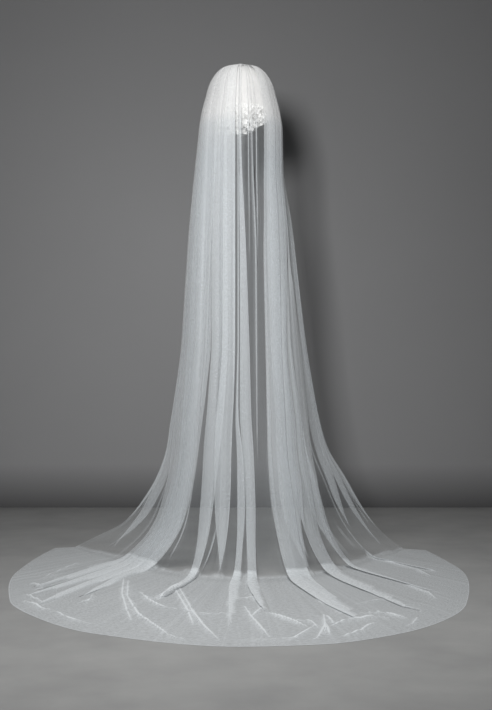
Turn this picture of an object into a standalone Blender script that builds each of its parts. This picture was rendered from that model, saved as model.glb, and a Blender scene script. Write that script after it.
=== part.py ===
"""Bridal veil: one rounded tulle panel, gathered over a padded crown, with its train on the floor.

Units are metres and +Z is up. The wearer would look along +Y, so the train runs towards -Y.
The origin is where the veil is held: the dished underside of the padding in the crown.

The tulle is one sheet. Every column of it starts at the gathered top edge, runs over the crown,
hangs in a bell to the floor and lies on it as far as the hem. A column is named by its angle
round the crown, measured from the middle of the back, where 0 degrees points to -Y.
"""

import math
from typing import NamedTuple

import bmesh
import bpy
from mathutils import Vector

# Driving dimensions
HOLD_HEIGHT = 1.490
WALL = 0.0012
SEAM_GAP = 0.0004
GATHER_REACH = 0.026
GATHER_Y = 0.016
CROWN_DEPTH_RATIO = 0.95
FOOT_HEIGHT = 0.130
FOOT_SWEEP = 0.060
FOOT_POWER = 2.2
LONGEST_LYING_LENGTH = 0.94
LYING_FROM = 1.70
DEEPEST_VALLEY = 0.58
SHALLOWEST_PLEAT = 0.72
PLEAT_UNEVENNESS = 0.42
GOLDEN_RATIO_STEP = 0.618034
ANGLE_STEP = 0.5
STATION_STEP = 0.01

COLLECTION_NAME = "bridal_veil"
TULLE_COLOUR = (0.80, 0.83, 0.84, 1.0)
PADDING_COLOUR = (0.86, 0.86, 0.85, 1.0)
TULLE_ROUGHNESS = 0.60
PADDING_ROUGHNESS = 0.85


class CrownRow(NamedTuple):
    """One level of the crown: its height above the floor and how far the cloth reaches there."""

    height: float
    reach: float


class BellRow(NamedTuple):
    """One level of the hanging cloth: how far it has flared from the crown to the floor, 0 to 1."""

    height: float
    left_flare: float
    right_flare: float


class PlanRow(NamedTuple):
    """One column seen from above: where it meets the floor and where its hem lies."""

    angle: float
    touch_x: float
    touch_y: float
    hem_x: float
    hem_y: float


class FoldGroup(NamedTuple):
    """A run of neighbouring pleats between two angles, given at the crown and at the floor."""

    name: str
    pleats: int
    crown_from: float
    crown_to: float
    floor_from: float
    floor_to: float
    hanging_depth: float
    lying_depth: float


class DepthRow(NamedTuple):
    """How deep a full pleat is at one station down the sheet."""

    station: float
    depth: float


CROWN_ROWS = (
    CrownRow(1.6475, GATHER_REACH),
    CrownRow(1.6362, 0.0610),
    CrownRow(1.6120, 0.0860),
    CrownRow(1.5750, 0.1052),
    CrownRow(1.5340, 0.1160),
    CrownRow(1.4885, 0.1272),
    CrownRow(1.4400, 0.1345),
)

BELL_ROWS = (
    BellRow(1.440, 0.000, 0.000),
    BellRow(1.300, 0.050, 0.010),
    BellRow(1.130, 0.098, 0.085),
    BellRow(0.900, 0.140, 0.160),
    BellRow(0.730, 0.170, 0.215),
    BellRow(0.580, 0.220, 0.278),
    BellRow(0.470, 0.262, 0.332),
    BellRow(0.380, 0.292, 0.394),
    BellRow(0.270, 0.378, 0.538),
    BellRow(0.190, 0.487, 0.640),
    BellRow(0.110, 0.612, 0.760),
    BellRow(0.050, 0.832, 0.868),
    BellRow(0.000, 1.000, 1.000),
)

PLAN_ROWS = (
    PlanRow(-127.5, -0.600, 0.455, -0.676, 0.430),
    PlanRow(-110.0, -0.530, 0.375, -0.708, 0.195),
    PlanRow(-90.0, -0.440, 0.290, -0.722, -0.080),
    PlanRow(-60.0, -0.285, 0.070, -0.655, -0.520),
    PlanRow(-45.0, -0.207, -0.015, -0.535, -0.750),
    PlanRow(-30.0, -0.135, -0.080, -0.370, -0.925),
    PlanRow(0.0, 0.020, -0.125, 0.000, -1.066),
    PlanRow(15.0, 0.098, -0.108, 0.198, -1.043),
    PlanRow(30.0, 0.175, -0.080, 0.382, -0.945),
    PlanRow(45.0, 0.247, -0.015, 0.525, -0.795),
    PlanRow(60.0, 0.320, 0.070, 0.632, -0.575),
    PlanRow(90.0, 0.455, 0.270, 0.716, -0.060),
    PlanRow(110.0, 0.530, 0.345, 0.694, 0.175),
    PlanRow(127.5, 0.578, 0.420, 0.660, 0.385),
)

# The groups follow one another from the left edge, round the back, to the right edge.
FOLD_GROUPS = (
    FoldGroup("left_edge_turned_back", 4, -127.5, -98.0, -127.5, -100.0, 0.70, 0.30),
    FoldGroup("left_outer_sheet", 2, -98.0, -80.0, -100.0, -78.0, 0.80, 0.60),
    FoldGroup("left_bright_bundle", 7, -80.0, -28.0, -78.0, -31.0, 1.00, 1.00),
    FoldGroup("left_narrow_panel", 2, -28.0, -19.0, -31.0, -20.0, 0.85, 0.90),
    FoldGroup("back_speckled_panel", 2, -19.0, -6.0, -20.0, -7.0, 0.60, 0.60),
    FoldGroup("back_middle_panel", 3, -6.0, 8.0, -7.0, 8.0, 0.90, 1.00),
    FoldGroup("open_window", 2, 8.0, 26.0, 8.0, 19.0, 0.30, 0.40),
    FoldGroup("right_bright_bundle", 5, 26.0, 58.0, 19.0, 45.0, 1.00, 1.00),
    FoldGroup("right_fan", 4, 58.0, 86.0, 45.0, 84.0, 0.85, 0.80),
    FoldGroup("right_outer_sheet", 2, 86.0, 100.0, 84.0, 102.0, 0.70, 0.50),
    FoldGroup("right_edge_turned_back", 3, 100.0, 127.5, 102.0, 127.5, 0.70, 0.25),
)

# Stations run 0 to 1 down the crown, 1 to 2 down the hanging cloth and 2 to 3 along the floor.
DEPTH_ROWS = (
    DepthRow(0.00, 0.0000),
    DepthRow(0.45, 0.0030),
    DepthRow(1.00, 0.0100),
    DepthRow(1.30, 0.0140),
    DepthRow(1.65, 0.0180),
    DepthRow(1.85, 0.0200),
    DepthRow(2.00, 0.0140),
    DepthRow(2.20, 0.0100),
    DepthRow(2.60, 0.0070),
    DepthRow(3.00, 0.0030),
)

# Corners of one pleat: how far along it, and half its depth out on a crest or in at a valley.
PLEAT_CORNERS = ((0.125, 0.5), (0.375, -0.5), (0.625, -0.5), (0.875, 0.5))

CROWN_STATIONS = (0.0, 0.18, 0.38, 0.58, 0.79, 1.0)
FALL_STATIONS = (1.0, 1.11, 1.23, 1.36, 1.49, 1.61, 1.71, 1.79, 1.86, 1.915, 1.96, 2.0, 2.12)
TRAIN_STATIONS = (2.12, 2.21, 2.34, 2.53, 2.72, 2.88, 3.0)


class Stretch(NamedTuple):
    """One stretch of the sheet that is its own solid, between two angles and two stations."""

    name: str
    stations: tuple
    first_group: int
    last_group: int


STRETCHES = (
    Stretch("veil_crown", CROWN_STATIONS, 0, 10),
    Stretch("veil_fall_left", FALL_STATIONS, 0, 2),
    Stretch("veil_fall_back", FALL_STATIONS, 3, 6),
    Stretch("veil_fall_right", FALL_STATIONS, 7, 10),
    Stretch("veil_train_left", TRAIN_STATIONS, 0, 2),
    Stretch("veil_train_back", TRAIN_STATIONS, 3, 6),
    Stretch("veil_train_right", TRAIN_STATIONS, 7, 10),
)

# Padding of crumpled tulle that fills the crown. It is shaped from a ball, whose top is at a polar
# share of 0, its widest level at 1 and its underside at 2.
PADDING_CAP_POLAR = 0.15
PADDING_ROUND_STATION = 0.18
PADDING_UNDER_POWER = 0.6
PADDING_WIDEST_STATION = 0.80
PADDING_TOP_CLEARANCE = 0.0010
PADDING_SIDE_CLEARANCE = 0.0032
PADDING_LOWEST = 1.4000
PADDING_LOWEST_RIGHT = 0.010
PADDING_LOWEST_LEFT = -0.020
PADDING_LUMP = 0.0060
PADDING_LEAST_DROP = 0.010
PADDING_DISH_REACH = 0.070
PADDING_RIGHT_SLOPE = 0.70
PADDING_LEFT_SLOPE = 0.30


class LumpWave(NamedTuple):
    """One wave of the padding's lumps: its count round the crown, its turn downwards, its phase."""

    around: int
    down: float
    phase: float


LUMP_WAVES = (
    LumpWave(5, 0.0, 2.0),
    LumpWave(9, -6.0, 0.0),
    LumpWave(2, 11.0, 0.0),
)


def smooth_value(rows: tuple, key: str, column: str, at: float) -> float:
    """Read a table between its rows on a curve that never overshoots them."""
    keys = [getattr(row, key) for row in rows]
    values = [getattr(row, column) for row in rows]
    if keys[0] > keys[-1]:
        keys.reverse()
        values.reverse()
    if at <= keys[0]:
        return values[0]
    if at >= keys[-1]:
        return values[-1]
    last = len(keys) - 1
    index = max(i for i in range(last) if keys[i] <= at)
    slopes = [(values[i + 1] - values[i]) / (keys[i + 1] - keys[i]) for i in range(last)]

    def slope_at(point: int) -> float:
        if point == 0:
            return slopes[0]
        if point == last:
            return slopes[-1]
        before, after = slopes[point - 1], slopes[point]
        if before * after <= 0.0:
            return 0.0
        return 2.0 * before * after / (before + after)

    span = keys[index + 1] - keys[index]
    t = (at - keys[index]) / span
    start_slope = slope_at(index) * span
    end_slope = slope_at(index + 1) * span
    start_weight = 2 * t**3 - 3 * t**2 + 1
    end_weight = 3 * t**2 - 2 * t**3
    return (
        start_weight * values[index]
        + (t**3 - 2 * t**2 + t) * start_slope
        + end_weight * values[index + 1]
        + (t**3 - t**2) * end_slope
    )


def crown_point(angle: float, station: float) -> Vector:
    """Point of the smooth crown, from the gathered edge at 0 down to the widest level at 1."""
    place = station * (len(CROWN_ROWS) - 1)
    index = min(int(place), len(CROWN_ROWS) - 2)
    share = place - index
    height = CROWN_ROWS[index].height * (1 - share) + CROWN_ROWS[index + 1].height * share
    reach = smooth_value(CROWN_ROWS, "height", "reach", height)
    turn = math.radians(angle)
    shift = GATHER_Y * (CROWN_ROWS[-1].reach - reach) / (CROWN_ROWS[-1].reach - GATHER_REACH)
    x = reach * math.sin(turn)
    y = -reach * CROWN_DEPTH_RATIO * math.cos(turn) + shift
    return Vector((x, y, height))


def bell_height(station: float) -> float:
    """Height of the hanging cloth at a station from 1 to 2, with even steps of height."""
    return CROWN_ROWS[-1].height * (2.0 - station)


def fall_point(angle: float, station: float) -> Vector:
    """Point of the smooth hanging cloth, which flares from the crown to the floor."""
    height = bell_height(station)
    top = crown_point(angle, 1.0)
    touch_x = smooth_value(PLAN_ROWS, "angle", "touch_x", angle)
    touch_y = smooth_value(PLAN_ROWS, "angle", "touch_y", angle)
    left_flare = smooth_value(BELL_ROWS, "height", "left_flare", height)
    right_flare = smooth_value(BELL_ROWS, "height", "right_flare", height)
    side = 0.5 + 0.5 * math.sin(math.radians(max(-90.0, min(90.0, angle))))
    flare = left_flare * (1 - side) + right_flare * side
    sweep = foot_sweep(angle, height)
    x = top.x + (touch_x - top.x) * flare + sweep.x
    y = top.y + (touch_y - top.y) * flare + sweep.y
    return Vector((x, y, height))


def foot_sweep(angle: float, height: float) -> Vector:
    """How far the cloth is carried towards the hem as it rounds on to the floor."""
    run_x = smooth_value(PLAN_ROWS, "angle", "hem_x", angle) - smooth_value(
        PLAN_ROWS, "angle", "touch_x", angle
    )
    run_y = smooth_value(PLAN_ROWS, "angle", "hem_y", angle) - smooth_value(
        PLAN_ROWS, "angle", "touch_y", angle
    )
    nearness = max(0.0, 1.0 - height / FOOT_HEIGHT) ** FOOT_POWER
    scale = FOOT_SWEEP * nearness / LONGEST_LYING_LENGTH
    return Vector((run_x * scale, run_y * scale, 0.0))


def train_point(angle: float, station: float) -> Vector:
    """Point of the smooth train on the floor, from where the cloth lands to its hem."""
    share = station - 2.0
    start = fall_point(angle, 2.0)
    hem_x = smooth_value(PLAN_ROWS, "angle", "hem_x", angle)
    hem_y = smooth_value(PLAN_ROWS, "angle", "hem_y", angle)
    x = start.x + (hem_x - start.x) * share
    y = start.y + (hem_y - start.y) * share
    return Vector((x, y, 0.0))


def smooth_point(angle: float, station: float) -> Vector:
    """Point of the sheet without its pleats, at an angle and a station from 0 to 3."""
    if station <= 1.0:
        return crown_point(angle, station)
    if station <= 2.0:
        return fall_point(angle, station)
    return train_point(angle, min(station, 3.0))


def outward(angle: float, station: float) -> Vector:
    """Direction out of the sheet: away from the wearer where it hangs, up where it lies."""
    across = smooth_point(angle + ANGLE_STEP, station) - smooth_point(angle - ANGLE_STEP, station)
    upper = smooth_point(angle, max(station - STATION_STEP, 0.0))
    lower = smooth_point(angle, min(station + STATION_STEP, 3.0))
    return (lower - upper).cross(across).normalized()


def pleat_depth(station: float) -> float:
    """Depth of a full pleat at a station."""
    return smooth_value(DEPTH_ROWS, "station", "depth", station)


class Column(NamedTuple):
    """One line down the sheet: its angle and its side of the pleat, at the crown and the floor."""

    crown_angle: float
    floor_angle: float
    hanging_rise: float
    lying_rise: float


class Pleat(NamedTuple):
    """One pleat's share of the full depth, where it hangs and where it lies."""

    hanging_depth: float
    lying_depth: float


def make_pleats() -> list:
    """Every pleat from the left edge to the right edge, uneven in depth from one to the next."""
    pleats = []
    for group in FOLD_GROUPS:
        for _ in range(group.pleats):
            chance = (len(pleats) * GOLDEN_RATIO_STEP) % 1.0
            share = SHALLOWEST_PLEAT + PLEAT_UNEVENNESS * chance
            pleats.append(Pleat(group.hanging_depth * share, group.lying_depth * share))
    return pleats


def group_columns(group: FoldGroup, pleats: list) -> list:
    """Columns of one group: each pleat is half a flat crest, a flat valley and half a crest."""
    columns = []
    for number, pleat in enumerate(pleats):
        for fraction, side in PLEAT_CORNERS:
            share = (number + fraction) / group.pleats
            crown = group.crown_from + (group.crown_to - group.crown_from) * share
            floor = group.floor_from + (group.floor_to - group.floor_from) * share
            columns.append(Column(crown, floor, side * pleat.hanging_depth, side * pleat.lying_depth))
    return columns


def crest_column(crown_angle: float, floor_angle: float, one: Pleat, other: Pleat) -> Column:
    """The line along the crest between two pleats, where one stretch ends and the next starts."""
    crest = PLEAT_CORNERS[0][1]
    hanging = crest * 0.5 * (one.hanging_depth + other.hanging_depth)
    lying = crest * 0.5 * (one.lying_depth + other.lying_depth)
    return Column(crown_angle, floor_angle, hanging, lying)


def column_angle(column: Column, station: float) -> float:
    """Angle of a column at a station: it drifts from its crown angle to its floor angle."""
    share = min(max(station - 1.0, 0.0), 1.0)
    return column.crown_angle + (column.floor_angle - column.crown_angle) * share


def sheet_point(column: Column, station: float) -> Vector:
    """Point in the middle of the wall, pleats included, in the part's own frame.

    Where the sheet turns to lie down it is lifted, so that its valleys rest on the floor.
    """
    angle = column_angle(column, station)
    depth = pleat_depth(station)
    normal = outward(angle, station)
    lying = min(max(station - LYING_FROM, 0.0) / (2.0 - LYING_FROM), 1.0)
    rise = column.hanging_rise * (1 - lying) + column.lying_rise * lying
    point = smooth_point(angle, station) + normal * (rise * depth)
    if station > 1.0:
        point.z += max(0.0, normal.z) * DEEPEST_VALLEY * depth + 0.5 * WALL
    point.z -= HOLD_HEIGHT
    return point


def stretch_columns(stretch: Stretch) -> list:
    """All the columns of one stretch, with its two side edges on the crests between pleats."""
    pleats = make_pleats()
    groups = FOLD_GROUPS[stretch.first_group : stretch.last_group + 1]
    first = sum(group.pleats for group in FOLD_GROUPS[: stretch.first_group])
    end = first + sum(group.pleats for group in groups)
    before = pleats[max(first - 1, 0)]
    after = pleats[min(end, len(pleats) - 1)]
    columns = [crest_column(groups[0].crown_from, groups[0].floor_from, before, pleats[first])]
    for group in groups:
        columns += group_columns(group, pleats[first : first + group.pleats])
        first += group.pleats
    columns.append(crest_column(groups[-1].crown_to, groups[-1].floor_to, pleats[end - 1], after))
    return columns


def draw_back(rows: list) -> None:
    """Draw the outline of a grid of points in by half a seam gap along all four edges."""
    inset = 0.5 * SEAM_GAP
    for row in rows:
        row[0] = row[0] + (row[1] - row[0]).normalized() * inset
        row[-1] = row[-1] + (row[-2] - row[-1]).normalized() * inset
    for index in range(len(rows[0])):
        top, below = rows[0][index], rows[1][index]
        rows[0][index] = top + (below - top).normalized() * inset
        bottom, above = rows[-1][index], rows[-2][index]
        rows[-1][index] = bottom + (above - bottom).normalized() * inset


def make_material(name: str, colour: tuple, roughness: float) -> bpy.types.Material:
    """A plain Principled material with one colour."""
    material = bpy.data.materials.new(name)
    material.use_nodes = True
    shader = material.node_tree.nodes["Principled BSDF"]
    shader.inputs["Base Color"].default_value = colour
    shader.inputs["Roughness"].default_value = roughness
    shader.inputs["Metallic"].default_value = 0.0
    return material


def add_object(name: str, mesh_data: bmesh.types.BMesh, material: bpy.types.Material):
    """Put a finished bmesh into the part's collection as a named object."""
    mesh = bpy.data.meshes.new(name)
    mesh_data.to_mesh(mesh)
    mesh_data.free()
    mesh.materials.append(material)
    mesh.shade_smooth()
    piece = bpy.data.objects.new(name, mesh)
    bpy.data.collections[COLLECTION_NAME].objects.link(piece)
    return piece


def make_stretch(stretch: Stretch) -> bpy.types.Object:
    """Loft one stretch of net through its pleated sections and give it its wall."""
    columns = stretch_columns(stretch)
    rows = [[sheet_point(column, station) for column in columns] for station in stretch.stations]
    draw_back(rows)
    sheet = bmesh.new()
    grid = [[sheet.verts.new(point) for point in row] for row in rows]
    for upper, lower in zip(grid, grid[1:]):
        for index in range(len(upper) - 1):
            corners = (upper[index], lower[index], lower[index + 1], upper[index + 1])
            sheet.faces.new(corners)
    material = make_material(stretch.name + "_tulle", TULLE_COLOUR, TULLE_ROUGHNESS)
    piece = add_object(stretch.name, sheet, material)
    wall = piece.modifiers.new("cloth wall", "SOLIDIFY")
    wall.thickness = WALL
    wall.offset = 0.0
    wall.use_even_offset = True
    return piece


def padding_hollow(turn: float, polar: float) -> float:
    """Depth of the hollows between the padding's lumps, from three waves round and down it."""
    lump = sum(
        math.sin(math.radians(wave.around * turn) + wave.down * polar + wave.phase)
        for wave in LUMP_WAVES
    )
    tallest = len(LUMP_WAVES)
    return PADDING_LUMP * (tallest - lump) / (2 * tallest) * min(1.0, polar)


def padding_point(turn: float, polar: float) -> Vector:
    """Point of the padding by its angle round the crown and its share from top 0 to bottom 2."""
    cap_share = min(1.0, polar / PADDING_CAP_POLAR)
    body_share = max(0.0, min(polar, 1.0) - PADDING_CAP_POLAR) / (1.0 - PADDING_CAP_POLAR)
    station = PADDING_WIDEST_STATION * body_share
    hollow = padding_hollow(turn, polar)
    roundness = min(1.0, station / PADDING_ROUND_STATION)
    clearance = PADDING_TOP_CLEARANCE * (1 - roundness) + PADDING_SIDE_CLEARANCE * roundness
    inset = DEEPEST_VALLEY * pleat_depth(station) + clearance + hollow
    point = crown_point(turn, station) - outward(turn, station) * inset
    if polar < PADDING_CAP_POLAR:
        return Vector((point.x * cap_share, GATHER_Y + (point.y - GATHER_Y) * cap_share, point.z))
    if polar <= 1.0:
        return point
    under = 0.5 * math.pi * (polar - 1.0)
    spread = math.cos(under) ** PADDING_UNDER_POWER
    x = point.x * spread
    y = point.y * spread
    lowest = PADDING_LOWEST + PADDING_RIGHT_SLOPE * max(0.0, x - PADDING_LOWEST_RIGHT)
    lowest += PADDING_LEFT_SLOPE * max(0.0, PADDING_LOWEST_LEFT - x) + 0.5 * hollow
    lowest = min(lowest, point.z - PADDING_LEAST_DROP)
    height = point.z + (lowest - point.z) * math.sin(under)
    dish = max(0.0, 1.0 - (x * x + y * y) / PADDING_DISH_REACH**2)
    return Vector((x, y, height + dish * (HOLD_HEIGHT - PADDING_LOWEST)))


def make_padding() -> bpy.types.Object:
    """Shape the crumpled padding from a ball: domed on top, lumpy, sloping and dished below."""
    ball = bmesh.new()
    bmesh.ops.create_icosphere(ball, subdivisions=4, radius=1.0)
    for vert in ball.verts:
        direction = vert.co.normalized()
        turn = math.degrees(math.atan2(direction.x, -direction.y))
        polar = math.acos(max(-1.0, min(1.0, direction.z))) / (0.5 * math.pi)
        vert.co = padding_point(turn, polar)
        vert.co.z -= HOLD_HEIGHT
    material = make_material("crown_padding_tulle", PADDING_COLOUR, PADDING_ROUGHNESS)
    return add_object("crown_padding", ball, material)


def main() -> None:
    """Clear the scene and build every stretch of the veil and its padding."""
    for old in list(bpy.data.objects):
        bpy.data.objects.remove(old, do_unlink=True)
    collection = bpy.data.collections.new(COLLECTION_NAME)
    bpy.context.scene.collection.children.link(collection)
    for stretch in STRETCHES:
        make_stretch(stretch)
    make_padding()


main()
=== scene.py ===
"""Looks of the bridal veil: soft net in folds, a padded crown, a train on the floor, a plain studio.

Units are metres and +Z is up. The origin is where the veil is held, so the floor is below zero.
The net is one sheet. A column of it is named by its angle round the crown, with 0 degrees at the
middle of the back, and a station says how far down the sheet a place is: 0 to 1 over the crown,
1 to 2 down the hanging cloth and 2 to 3 along the floor.
"""

from __future__ import annotations

import logging
import math
from dataclasses import dataclass
from enum import Enum
from typing import NamedTuple

import bmesh
import bpy
import numpy as np
from mathutils import Euler, Matrix, Vector, noise

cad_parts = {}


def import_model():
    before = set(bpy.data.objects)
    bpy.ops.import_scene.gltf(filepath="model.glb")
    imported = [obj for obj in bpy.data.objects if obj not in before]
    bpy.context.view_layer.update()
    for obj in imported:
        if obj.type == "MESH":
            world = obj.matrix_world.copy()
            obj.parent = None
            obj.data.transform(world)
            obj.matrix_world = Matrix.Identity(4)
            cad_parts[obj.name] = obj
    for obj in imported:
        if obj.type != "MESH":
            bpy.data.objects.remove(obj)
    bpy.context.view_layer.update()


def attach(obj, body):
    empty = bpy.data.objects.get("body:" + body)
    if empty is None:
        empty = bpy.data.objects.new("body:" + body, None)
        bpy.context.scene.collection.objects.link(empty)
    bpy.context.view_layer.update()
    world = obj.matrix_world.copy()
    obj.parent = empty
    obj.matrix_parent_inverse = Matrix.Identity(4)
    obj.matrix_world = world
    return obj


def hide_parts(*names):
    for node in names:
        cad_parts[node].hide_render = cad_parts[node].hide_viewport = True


LOG = logging.getLogger("bridal_veil")
FLOOR_Z = -1.490
EDGE_ANGLE = 127.5
LANES = (0, 1)


class CrownRow(NamedTuple):
    """One level of the crown: its height above the floor and how far the cloth reaches there."""

    height: float
    reach: float


class BellRow(NamedTuple):
    """One level of the hanging cloth and how far it has flared towards the floor, 0 to 1."""

    height: float
    left_flare: float
    right_flare: float


class PlanRow(NamedTuple):
    """One column seen from above: where it meets the floor and where its hem lies."""

    angle: float
    touch_x: float
    touch_y: float
    hem_x: float
    hem_y: float


class Track(NamedTuple):
    """Where a fold's two edges are at one station, as angles; equal angles are its end."""

    station: float
    left: float
    right: float


class Edge(Enum):
    """The edge of a fold that lies on top and shows. Its value turns the order of the layers."""

    LEFT = 1.0
    RIGHT = -1.0


class Fold(NamedTuple):
    """One fold laid over to a side, with three layers of net between its edges."""

    name: str
    top: Edge
    track: tuple


class DepthRow(NamedTuple):
    """How far a fold's layers lie apart at one station."""

    station: float
    gap: float


class Ridge(NamedTuple):
    """A wrinkle of the train: the places on the floor it runs through, its width and its height."""

    line: tuple
    width: float
    height: float


def fold(name: str, top: Edge, *marks: tuple) -> Fold:
    """A fold, from the station, left angle and right angle of each mark of its track."""
    return Fold(name, top, tuple(Track(*mark) for mark in marks))


def ridge(width: float, height: float, *line: tuple) -> Ridge:
    """A wrinkle, from its size and the places on the floor that it runs through."""
    return Ridge(line, width, height)


def to_object(name: str, shape: bmesh.types.BMesh) -> bpy.types.Object:
    """Turn a finished bmesh into a smooth object in the scene."""
    for face in shape.faces:
        face.smooth = True
    mesh = bpy.data.meshes.new(name)
    shape.to_mesh(mesh)
    shape.free()
    piece = bpy.data.objects.new(name, mesh)
    bpy.context.scene.collection.objects.link(piece)
    return piece


CROWN_ROWS = (
    CrownRow(1.6475, 0.0260),
    CrownRow(1.6362, 0.0610),
    CrownRow(1.6120, 0.0860),
    CrownRow(1.5750, 0.1052),
    CrownRow(1.5340, 0.1160),
    CrownRow(1.4885, 0.1272),
    CrownRow(1.4400, 0.1345),
)

BELL_ROWS = (
    BellRow(1.440, 0.000, 0.000),
    BellRow(1.300, 0.050, 0.010),
    BellRow(1.130, 0.098, 0.085),
    BellRow(0.900, 0.140, 0.160),
    BellRow(0.730, 0.170, 0.215),
    BellRow(0.580, 0.220, 0.278),
    BellRow(0.470, 0.262, 0.332),
    BellRow(0.380, 0.292, 0.394),
    BellRow(0.270, 0.378, 0.538),
    BellRow(0.190, 0.487, 0.640),
    BellRow(0.110, 0.612, 0.760),
    BellRow(0.050, 0.832, 0.868),
    BellRow(0.000, 1.000, 1.000),
)

PLAN_ROWS = (
    PlanRow(-127.5, -0.600, 0.455, -0.676, 0.430),
    PlanRow(-110.0, -0.530, 0.375, -0.708, 0.195),
    PlanRow(-90.0, -0.440, 0.290, -0.722, -0.080),
    PlanRow(-60.0, -0.285, 0.070, -0.655, -0.520),
    PlanRow(-45.0, -0.207, -0.015, -0.535, -0.750),
    PlanRow(-30.0, -0.135, -0.080, -0.370, -0.925),
    PlanRow(0.0, 0.020, -0.125, 0.000, -1.066),
    PlanRow(15.0, 0.098, -0.108, 0.198, -1.043),
    PlanRow(30.0, 0.175, -0.080, 0.382, -0.945),
    PlanRow(45.0, 0.247, -0.015, 0.525, -0.795),
    PlanRow(60.0, 0.320, 0.070, 0.632, -0.575),
    PlanRow(90.0, 0.455, 0.270, 0.716, -0.060),
    PlanRow(110.0, 0.530, 0.345, 0.694, 0.175),
    PlanRow(127.5, 0.578, 0.420, 0.660, 0.385),
)

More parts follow.
